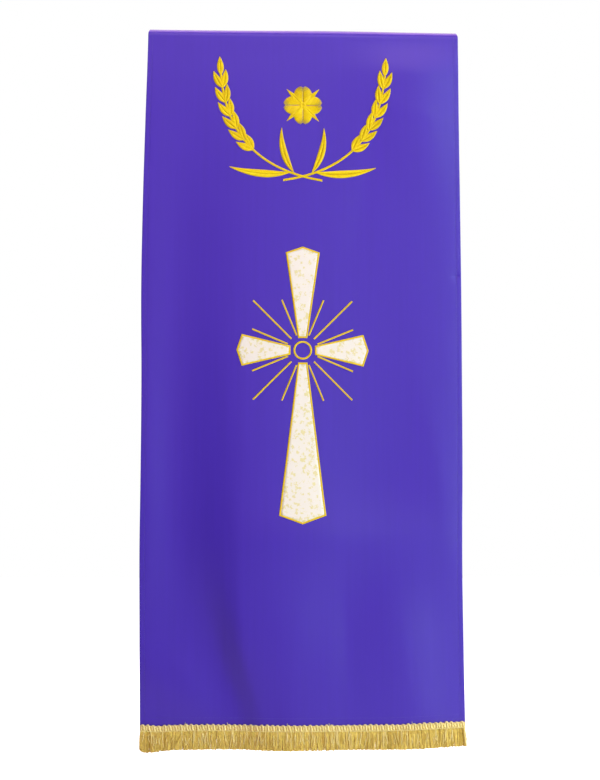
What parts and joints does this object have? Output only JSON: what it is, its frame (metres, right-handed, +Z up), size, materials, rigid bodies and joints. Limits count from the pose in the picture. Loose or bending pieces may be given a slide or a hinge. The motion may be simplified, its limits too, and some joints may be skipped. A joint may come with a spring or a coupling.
{
  "type": "ambo cloth",
  "caption": "Long violet satin fall that turns over a lectern's top edge, with gold embroidery, an applique cross and a gold fringe along its front hem.",
  "frame": {"origin": "middle of the top edge that the cloth hangs from, at the crest of the cloth's inner face", "axes": "+X along the top edge to the viewer's right, +Y away from the viewer towards the back fall, +Z up"},
  "size_m": [0.4995, 0.0496, 1.1151],
  "materials": {
    "satin": "soft satin weave, violet",
    "gold_thread": "glossy satin stitch in gold rayon",
    "cream_brocade": "cream brocade with fine gold flecks",
    "fringe_yarn": "old gold rayon yarn"
  },
  "bodies": {
    "root": {"cloth": "satin", "fringe": "fringe_yarn", "wheat_spray": "gold_thread", "quatrefoil": "gold_thread", "cross_panel_top": "cream_brocade", "cross_panel_right": "cream_brocade", "cross_panel_left": "cream_brocade", "cross_panel_foot": "cream_brocade", "cross_border_top": "gold_thread", "cross_border_right": "gold_thread", "cross_border_left": "gold_thread", "cross_border_foot": "gold_thread", "cross_ring": "gold_thread", "cross_ray_upper_steep_right": "gold_thread", "cross_ray_upper_steep_left": "gold_thread", "cross_ray_upper_middle_right": "gold_thread", "cross_ray_upper_middle_left": "gold_thread", "cross_ray_upper_flat_right": "gold_thread", "cross_ray_upper_flat_left": "gold_thread", "cross_ray_lower_flat_right": "gold_thread", "cross_ray_lower_flat_left": "gold_thread", "cross_ray_lower_middle_right": "gold_thread", "cross_ray_lower_middle_left": "gold_thread", "cross_ray_lower_steep_right": "gold_thread", "cross_ray_lower_steep_left": "gold_thread"}
  },
  "joints": []
}
